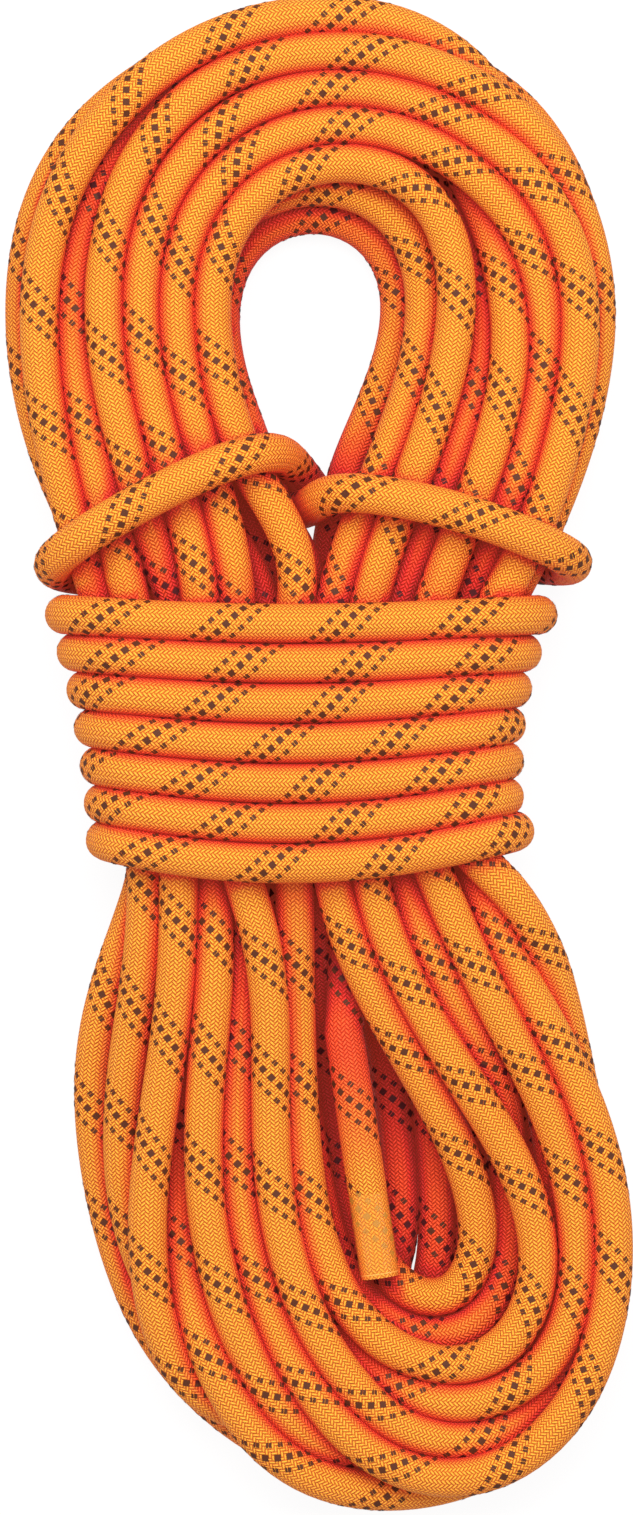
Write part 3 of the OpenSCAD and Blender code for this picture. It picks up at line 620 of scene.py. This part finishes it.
def orange_collection(name):
    c = bpy.data.collections.new(name)
    scene.collection.children.link(c)
    return c


rope_set = orange_collection("Rope")


def make_mesh(name, verts, faces, mat, smooth=True):
    me = bpy.data.meshes.new(name)
    verts = np.asarray(verts, float) / 1000.0
    me.vertices.add(len(verts))
    me.vertices.foreach_set("co", verts.ravel())
    faces = np.asarray(faces, int)
    nv = faces.shape[1]
    me.loops.add(faces.size)
    me.loops.foreach_set("vertex_index", faces.ravel())
    me.polygons.add(len(faces))
    me.polygons.foreach_set("loop_start", np.arange(0, faces.size, nv))
    me.polygons.foreach_set("loop_total", np.full(len(faces), nv))
    me.polygons.foreach_set("use_smooth", np.full(len(faces), smooth))
    me.update(calc_edges=True)
    me.validate()
    me.materials.append(mat)
    o = bpy.data.objects.new(name, me)
    rope_set.objects.link(o)
    return o


def float_attribute(o, name, values):
    a = o.data.attributes.get(name) or o.data.attributes.new(name, "FLOAT", "POINT")
    a.data.foreach_set("value", np.asarray(values, np.float32))


# ---------------------------------------------------------------- materials
def new_material(name):
    m = bpy.data.materials.new(name)
    m.use_nodes = True
    nt = m.node_tree
    bsdf = nt.nodes.get("Principled BSDF")
    return m, nt, bsdf


def maths(nt, op, a, b=None, c=None):
    n = nt.nodes.new("ShaderNodeMath")
    n.operation = op
    for k, v in enumerate((a, b, c)):
        if v is None:
            continue
        if isinstance(v, (int, float)):
            n.inputs[k].default_value = v
        else:
            nt.links.new(v, n.inputs[k])
    return n.outputs[0]


def mix_colour(nt, fac, a, b, mode="MIX"):
    n = nt.nodes.new("ShaderNodeMix")
    n.data_type = "RGBA"
    n.blend_type = mode
    n.clamp_factor = True
    ins = [s for s in n.inputs if s.enabled] if False else n.inputs
    fa, A, B = n.inputs[0], n.inputs[6], n.inputs[7]
    if isinstance(fac, (int, float)):
        fa.default_value = fac
    else:
        nt.links.new(fac, fa)
    for s, v in ((A, a), (B, b)):
        if isinstance(v, tuple):
            s.default_value = v
        else:
            nt.links.new(v, s)
    return n.outputs[2]


def srgb(r, g, b):
    f = lambda v: v / 12.92 if v <= 0.04045 else ((v + 0.055) / 1.055) ** 2.4
    return (f(r / 255), f(g / 255), f(b / 255), 1.0)


def woven(name, sealed=False):
    """The sheath: 28 yarn groups each way, over two and under two, orange on the crests; painted shade turns it red
    between the turns and darker in the gaps between the yarns.
    """
    m, nt, bsdf = new_material(name)
    uv = nt.nodes.new("ShaderNodeUVMap")
    uv.uv_map = "Sheath"
    sep = nt.nodes.new("ShaderNodeSeparateXYZ")
    nt.links.new(uv.outputs[0], sep.inputs[0])
    a = maths(nt, "MULTIPLY", maths(nt, "ADD", sep.outputs[0], sep.outputs[1]), YARNS)
    b = maths(nt, "MULTIPLY", maths(nt, "SUBTRACT", sep.outputs[0], sep.outputs[1]), YARNS)
    fa, fb = maths(nt, "FRACT", a), maths(nt, "FRACT", b)
    ia, ib = maths(nt, "FLOOR", a), maths(nt, "FLOOR", b)
    q = maths(nt, "FLOORED_MODULO", maths(nt, "ADD", ia, ib), 4.0)
    over = maths(nt, "LESS_THAN", q, 1.5)

    def crown(f):
        d = maths(nt, "MULTIPLY_ADD", f, 2.0, -1.0)
        return maths(nt, "SUBTRACT", 1.0, maths(nt, "MULTIPLY", d, d))

    def float_end(t):
        d = maths(nt, "MULTIPLY_ADD", t, 2.0, -1.0)
        d2 = maths(nt, "MULTIPLY", d, d)
        return maths(nt, "SUBTRACT", 1.0, maths(nt, "MULTIPLY", maths(nt, "MULTIPLY", d2, d2), 0.6))

    ta = maths(nt, "MULTIPLY", maths(nt, "ADD", q, fb), 0.5)
    tb = maths(nt, "MULTIPLY", maths(nt, "ADD", maths(nt, "SUBTRACT", q, 2.0), fa), 0.5)
    ha = maths(nt, "MULTIPLY", crown(fa), float_end(ta))
    hb = maths(nt, "MULTIPLY", crown(fb), float_end(tb))
    h = maths(nt, "ADD", maths(nt, "MULTIPLY", over, ha),
              maths(nt, "MULTIPLY", maths(nt, "SUBTRACT", 1.0, over), hb))
    att = nt.nodes.new("ShaderNodeAttribute")
    att.attribute_type = "GEOMETRY"
    att.attribute_name = "painted_shade"
    noise = nt.nodes.new("ShaderNodeTexNoise")
    noise.inputs["Scale"].default_value = 260.0
    noise.inputs["Detail"].default_value = 2.0
    tc = nt.nodes.new("ShaderNodeTexCoord")
    nt.links.new(tc.outputs["Object"], noise.inputs["Vector"])
    # Painted shade: the ramp runs from the crest orange through orange-red to crimson as the painted shade rises, with
    # a little random tone from the noise.
    deep = maths(nt, "ADD", att.outputs["Fac"], maths(nt, "MULTIPLY_ADD", noise.outputs[0], 0.10, -0.05))
    ramp = nt.nodes.new("ShaderNodeValToRGB")
    els = ramp.color_ramp.elements
    els[0].position, els[0].color = 0.0, CREST if not sealed else SEALED_CREST
    els[1].position, els[1].color = 1.0, srgb(168, 16, 36)
    for pos, col in ((0.22, srgb(255, 138, 46)), (0.45, srgb(254, 90, 42)), (0.70, srgb(232, 46, 42))):
        e = els.new(pos)
        e.color = col
    nt.links.new(deep, ramp.inputs[0])
    # Painted shade in the gaps between the yarns: the colour is multiplied darker where the yarn height falls.
    yarn_gap_shade = mix_colour(nt, 1.0, ramp.outputs[0], srgb(192, 84, 48), "MULTIPLY")
    gap = maths(nt, "SUBTRACT", 1.0, h)
    col = mix_colour(nt, gap, ramp.outputs[0], yarn_gap_shade)
    nt.links.new(col, bsdf.inputs["Base Color"])
    bsdf.inputs["Roughness"].default_value = 0.62
    bsdf.inputs["Specular IOR Level"].default_value = 0.25
    bsdf.inputs["Emission Color"].default_value = (1.0, 0.11, 0.05, 1.0)    # painted glow: a faint red emission that lifts the red of the shaded parts, standing in for the fluorescent dye's glow under light
    bsdf.inputs["Emission Strength"].default_value = 0.11
    bump = nt.nodes.new("ShaderNodeBump")
    bump.inputs["Strength"].default_value = 1.0
    bump.inputs["Distance"].default_value = 0.00045
    nt.links.new(h, bump.inputs["Height"])
    nt.links.new(bump.outputs[0], bsdf.inputs["Normal"])
    return m


CREST = srgb(255, 178, 52)
SEALED_CREST = srgb(255, 190, 74)
mat_sheath = woven("Woven_sheath")


def plain(name, colour, rough, spec=0.3):
    """A plain yarn colour with a fine procedural grain in its surface."""
    m, nt, bsdf = new_material(name)
    bsdf.inputs["Base Color"].default_value = colour
    bsdf.inputs["Roughness"].default_value = rough
    bsdf.inputs["Specular IOR Level"].default_value = spec
    noise = nt.nodes.new("ShaderNodeTexNoise")
    noise.inputs["Scale"].default_value = 2200.0
    tc = nt.nodes.new("ShaderNodeTexCoord")
    nt.links.new(tc.outputs["Object"], noise.inputs["Vector"])
    bump = nt.nodes.new("ShaderNodeBump")
    bump.inputs["Strength"].default_value = 0.25
    bump.inputs["Distance"].default_value = 0.0001
    nt.links.new(noise.outputs[0], bump.inputs["Height"])
    nt.links.new(bump.outputs[0], bsdf.inputs["Normal"])
    return m


mat_tracer = plain("Tracer_yarn", srgb(82, 38, 14), 0.7)
# Painted shade: a darker, redder copy of the tracer colour for the tracer squares down in the creases and on lower
# turns.
mat_tracer_shaded = plain("Tracer_yarn_painted_shade", srgb(74, 16, 20), 0.75)
mat_tracer_sealed = plain("Tracer_yarn_under_seal", srgb(172, 118, 44), 0.5)
mat_plug = plain("Melted_plug", srgb(255, 190, 96), 0.45)
mat_core = plain("Core_yarn", srgb(238, 236, 226), 0.7)
mat_tape = plain("Marker_tape_film", srgb(120, 170, 205), 0.35)
mat_seal, nt, bsdf = new_material("Clear_seal")
bsdf.inputs["Base Color"].default_value = srgb(255, 176, 66)
bsdf.inputs["Roughness"].default_value = 0.16
bsdf.inputs["Alpha"].default_value = 0.20
bsdf.inputs["Specular IOR Level"].default_value = 0.6
nz = nt.nodes.new("ShaderNodeTexNoise")
nz.inputs["Scale"].default_value = 420.0
tc = nt.nodes.new("ShaderNodeTexCoord")
nt.links.new(tc.outputs["Object"], nz.inputs["Vector"])
bp = nt.nodes.new("ShaderNodeBump")
bp.inputs["Strength"].default_value = 0.35
bp.inputs["Distance"].default_value = 0.0004
nt.links.new(nz.outputs[0], bp.inputs["Height"])
nt.links.new(bp.outputs[0], bsdf.inputs["Normal"])
mat_seal.use_backface_culling = False

# ---------------------------------------------------------------- the sheath, one tube over the whole rope
SEAL = 22.0
theta = np.arange(SIDES) / SIDES * 2 * math.pi


def tube_radius(s):
    """The sheath is drawn in a little under each clear seal."""
    lo = np.clip((s - (SEAL - 1.0)) / 2.0, 0, 1)
    hi = np.clip(((length - s) - (SEAL - 1.0)) / 2.0, 0, 1)
    return ROPE_R - 0.22 * (1 - lo) - 0.22 * (1 - hi)


rad = tube_radius(arc)
V = (line[:, None, :] + rad[:, None, None] * (np.cos(theta)[None, :, None] * normal[:, None, :]
                                              + np.sin(theta)[None, :, None] * binormal[:, None, :])).reshape(-1, 3)
V[:, 2] = np.maximum(V[:, 2], 0.02)
i = np.arange(rings - 1)[:, None] * SIDES
j = np.arange(SIDES)[None, :]
jn = (j + 1) % SIDES
F = np.stack([i + j, i + jn, i + SIDES + jn, i + SIDES + j], 2).reshape(-1, 4)
rope = make_mesh("Rope_sheath", V, F, mat_sheath)
uvl = rope.data.uv_layers.new(name="Sheath")
uu = np.stack([j + 0 * i, j + 1 + 0 * i, j + 1 + 0 * i, j + 0 * i], 2).reshape(-1) / SIDES
sv = arc / PITCH
k0 = (i // SIDES) + 0 * j
vv = np.stack([sv[k0], sv[k0], sv[k0 + 1], sv[k0 + 1]], 2).reshape(-1)
uvl.data.foreach_set("uv", np.stack([uu, vv], 1).astype(np.float32).ravel())
ring_s = np.repeat(arc, SIDES)
# Painted shade in the sheath colour: redder in the creases, under other turns and on the downward sides, lighter on
# outer sides open to the side lights, redder on the sunk free end.
painted_shade = painted_shade_of(V, ring_s)
# Painted shade: the sides of the tube that face down are painted redder.
upward = (V[:, 2] - np.repeat(line[:, 2], SIDES)) / ROPE_R
flank_shade = np.clip(1 - upward, 0, 1)
# Painted shade: the free end is painted redder between about 26 mm and 170 mm from its tip, where it lies sunk in the
# lower eye.
shade = np.clip((ring_s - 26) / 30, 0, 1) * np.clip((170 - ring_s) / 40, 0, 1)    # the free end lies sunk in the lower eye
# Painted light: the outer sides of the turns that lie open to the side lights are painted back towards the crest
# orange, removing most of their painted shade.
outward = (V[:, :2] - np.repeat(line[:, :2], SIDES, 0)) / ROPE_R
beside = np.array([sample_height(V[:, :2] + k * outward) for k in (9.0, 13.0, 17.0)]).max(0)
lean = np.hypot(outward[:, 0], outward[:, 1])
lit_from_side = np.clip((V[:, 2] + 1.0 - beside) / 5.0, 0, 1) * np.clip((lean - 0.25) / 0.4, 0, 1)
along = np.clip(V[:, 1], -96.0, 110.0)
spine = np.stack([12.0 - 15.0 * (along + 96.0) / 206.0, along], 1)
radial = V[:, :2] - spine
reach = np.hypot(radial[:, 0], radial[:, 1])
outer = (radial * outward).sum(1) / np.maximum(reach * np.maximum(lean, 0.05), 1e-6)
lit_from_side *= np.clip((outer - 0.15) / 0.35, 0, 1) * np.clip((reach - 28.0) / 12.0, 0, 1)
float_attribute(rope, "painted_shade", np.clip((painted_shade + 0.30 * flank_shade ** 1.7) * (1 - 0.7 * lit_from_side) + 0.45 * shade, 0, 1))

# ---------------------------------------------------------------- the tracer yarns
# Three rows wind round the sheath together. A row shows as a run of small squares where its yarns lie on top.


def patches(name, rows, mat, s_lo, s_hi, lift, keep=None):
    """rows: (a0, a1, b0, b1) in yarn groups, repeated every 4 groups along the row."""
    verts, faces, ss = [], [], []
    n_cells = int((s_hi - s_lo) / PITCH * 2 * YARNS / 4) + 8
    first = -int(2 * YARNS * s_hi / PITCH / 4) - 4
    last = 4 + 8
    for a0, a1, b0, b1 in rows:
        m = np.arange(-int(s_hi / PITCH * YARNS * 2 / 4) - 20, 20)
        # a = YARNS (u + v), b = YARNS (u - v): v = (a - b) / 2 YARNS, u = (a + b) / 2 YARNS
        na, nb = 3, 2
        A = np.linspace(a0, a1, na)
        B = np.linspace(b0, b1, nb)
        aa, bb = np.meshgrid(A, B, indexing="ij")
        aa = aa.ravel()[None, :] + 0 * m[:, None]
        bb = bb.ravel()[None, :] + 4.0 * m[:, None]
        v = (aa - bb) / (2 * YARNS)
        s = v * PITCH
        ok = (s.min(1) > s_lo) & (s.max(1) < s_hi)
        s, uang = s[ok], ((aa + bb) / (2 * YARNS))[ok]
        if not len(s):
            continue
        c, nn, bn = frame_at(s.ravel())
        th = (uang.ravel() * 2 * math.pi)[:, None]
        r = tube_radius(s.ravel())[:, None] + lift
        p = c + r * (np.cos(th) * nn + np.sin(th) * bn)
        base = sum(len(x) for x in verts)
        verts.append(p)
        ss.append(s.ravel())
        k = np.arange(len(s))[:, None] * (na * nb) + base
        for ia in range(na - 1):
            for ib in range(nb - 1):
                q = ia * nb + ib
                faces.append(np.concatenate([k + q, k + q + nb, k + q + nb + 1, k + q + 1], 1))
    verts, ss, faces = np.concatenate(verts), np.concatenate(ss), np.concatenate(faces)
    return verts, faces, ss


ROWS = [(12.95, 15.1, 3.0, 5.05),
        (8.85, 10.5, 1.9, 2.85), (8.85, 10.5, 3.05, 3.75),
        (17.5, 19.15, 4.3, 5.25), (17.5, 19.15, 5.45, 6.15)]
tv, tf, ts = patches("t", ROWS, None, 1.0, length - 1.0, 0.10)
sealed_zone = (ts < SEAL) | (ts > length - SEAL)
td = painted_shade_of(tv, ts)
fd = td[tf].mean(1)
fs = sealed_zone[tf].any(1)


def part_of(mask, name, mat):
    f = tf[mask]
    used, inv = np.unique(f, return_inverse=True)
    o = make_mesh(name, tv[used], inv.reshape(f.shape), mat, smooth=True)
    return o, ts[used]


# Tracer squares whose mean painted shade is over 0.5 take the painted-shade copy of the tracer colour.
tracer, tracer_s = part_of(~fs & (fd <= 0.5), "Tracer_yarns", mat_tracer)
tracer_shaded, tracer_shaded_s = part_of(~fs & (fd > 0.5), "Tracer_yarns_in_painted_shade", mat_tracer_shaded)
end_face = fs & (ts[tf].mean(1) < 200)
tracer_tail, tracer_tail_s = part_of(end_face, "Tracer_yarns_free_end", mat_tracer_sealed)
tracer_tuck, tracer_tuck_s = part_of(fs & ~end_face, "Tracer_yarns_tucked_end", mat_tracer_sealed)

# ---------------------------------------------------------------- sealed ends


def sleeve(name, at_start):
    s = np.linspace(0.0, SEAL, 12) if at_start else np.linspace(length - SEAL, length, 12)
    c, nn, bb = frame_at(s)
    sides = 48
    th = np.arange(sides) / sides * 2 * math.pi
    e = np.minimum(s if at_start else length - s, 99)
    r = ROPE_R + 0.02 - 0.16 * np.exp(-np.abs(e - SEAL) / 0.8) - 0.25 * np.exp(-e / 0.6)
    vv = (c[:, None, :] + r[:, None, None] * (np.cos(th)[None, :, None] * nn[:, None, :] + np.sin(th)[None, :, None] * bb[:, None, :]))
    vv = vv.reshape(-1, 3)
    vv[:, 2] = np.maximum(vv[:, 2], 0.01)
    i = np.arange(len(s) - 1)[:, None] * sides
    j = np.arange(sides)[None, :]
    jn = (j + 1) % sides
    f = np.stack([i + j, i + jn, i + sides + jn, i + sides + j], 2).reshape(-1, 4)
    return make_mesh(name, vv, f, mat_seal)


def end_plug(name, at_start):
    c, nn, bb = frame_at(np.array([0.0 if at_start else length]))
    out = -tangent[0] if at_start else tangent[-1]
    rng = np.random.RandomState(5 if at_start else 6)
    sides, rr = 40, [0.0, 1.4, 2.8, 4.0, 4.72, 4.92]
    dome = [-0.45, -0.4, -0.3, -0.18, -0.3, -1.2]
    verts = []
    for r, d in zip(rr, dome):
        th = np.arange(sides) / sides * 2 * math.pi
        wob = 0.09 * rng.standard_normal(sides) * (1 if 0 < r < 4.8 else 0.3)
        verts.append(c + r * (np.cos(th)[:, None] * nn + np.sin(th)[:, None] * bb) + (d + wob)[:, None] * out)
    verts = np.concatenate(verts)
    i = np.arange(len(rr) - 1)[:, None] * sides
    j = np.arange(sides)[None, :]
    jn = (j + 1) % sides
    f = np.stack([i + j, i + jn, i + sides + jn, i + sides + j], 2).reshape(-1, 4)
    return make_mesh(name, verts, f, mat_plug)


seal_tail = sleeve("Clear_seal_free_end", True)
seal_tuck = sleeve("Clear_seal_tucked_end", False)
plug_tail = end_plug("Melted_plug_free_end", True)
plug_tuck = end_plug("Melted_plug_tucked_end", False)

# ---------------------------------------------------------------- what moves with what
TAIL = 68.0


def lift_weight(s):
    """0 in the hank, 1 on the free end; s is the distance along the rope from the free end's tip."""
    t = np.clip((TAIL + 6.0 - s) / 20.0, 0, 1)
    return t * t * (3 - 2 * t)


p0 = (PIVOT - HEAD * 6) / 1000
p1 = (PIVOT + HEAD * 14) / 1000
for o, s in ((rope, ring_s), (tracer, tracer_s), (tracer_shaded, tracer_shaded_s)):
    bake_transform(o, "hank", "free_end", start=tuple(p0), end=tuple(p1))
    float_attribute(o, "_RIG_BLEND", lift_weight(s))
for o in (tracer_tail, seal_tail, plug_tail):
    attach(o, "free_end")
for o in (tracer_tuck, seal_tuck, plug_tuck):
    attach(o, "hank")

turn_nodes = [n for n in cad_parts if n.endswith(("_turns", "_strand")) or n.startswith("wrap_turn")]
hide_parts(*turn_nodes, "tail_root", "tail_sheath", "tucked_end_sheath")
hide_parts("tail_end_seal")
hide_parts("tucked_end_seal")
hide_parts("tail_fused_plug")
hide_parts("tucked_end_fused_plug")
for n, m in (("tail_core_strands", mat_core), ("tucked_end_core_strands", mat_core),
             ("tail_marker_tape", mat_tape), ("tucked_end_marker_tape", mat_tape)):
    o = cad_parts[n]
    o.data.materials.clear()
    o.data.materials.append(m)

print("ROPE length mm", round(length, 1), "rings", rings, "tracer faces", len(tf))

# ---------------------------------------------------------------- floor, light
fm, nt, bsdf = new_material("Studio_floor")
out = nt.nodes.get("Material Output")
em = nt.nodes.new("ShaderNodeEmission")
em.inputs["Color"].default_value = (1, 1, 1, 1)
em.inputs["Strength"].default_value = 1.02
bsdf.inputs["Base Color"].default_value = (0.9, 0.9, 0.9, 1)
bsdf.inputs["Roughness"].default_value = 1.0
bsdf.inputs["Specular IOR Level"].default_value = 0.0
mixs = nt.nodes.new("ShaderNodeMixShader")
mixs.inputs[0].default_value = 0.90
nt.links.new(bsdf.outputs[0], mixs.inputs[1])
nt.links.new(em.outputs[0], mixs.inputs[2])
nt.links.new(mixs.outputs[0], out.inputs["Surface"])
bpy.ops.mesh.primitive_plane_add(size=6.0, location=(0, 0, -0.0004))
floor = bpy.context.object
floor.name = "Studio_floor"
floor.data.materials.append(fm)
floor.visible_diffuse = False
floor.visible_glossy = False


def area(name, loc, target, size, power, colour=(1, 1, 1)):
    d = bpy.data.lights.new(name, "AREA")
    d.shape = "RECTANGLE"
    d.size, d.size_y = size
    d.energy = power
    d.color = colour
    o = bpy.data.objects.new(name, d)
    scene.collection.objects.link(o)
    o.location = loc
    o.rotation_euler = (Vector(target) - Vector(loc)).to_track_quat("-Z", "Y").to_euler()
    return o


area("Key_above", (0.0, 0.55, 1.2), (0, 0, 0), (1.2, 0.9), 20.0)
area("Fill_left", (-1.2, -0.1, 0.8), (0, 0, 0), (0.8, 1.2), 3.0)
area("Fill_right", (1.2, 0.1, 0.8), (0, 0, 0), (0.8, 1.2), 3.0)
world = bpy.data.worlds.get("World") or bpy.data.worlds.new("World")
scene.world = world
world.use_nodes = True
bg = world.node_tree.nodes.get("Background")
bg.inputs["Color"].default_value = (1, 1, 1, 1)
bg.inputs["Strength"].default_value = 0.62
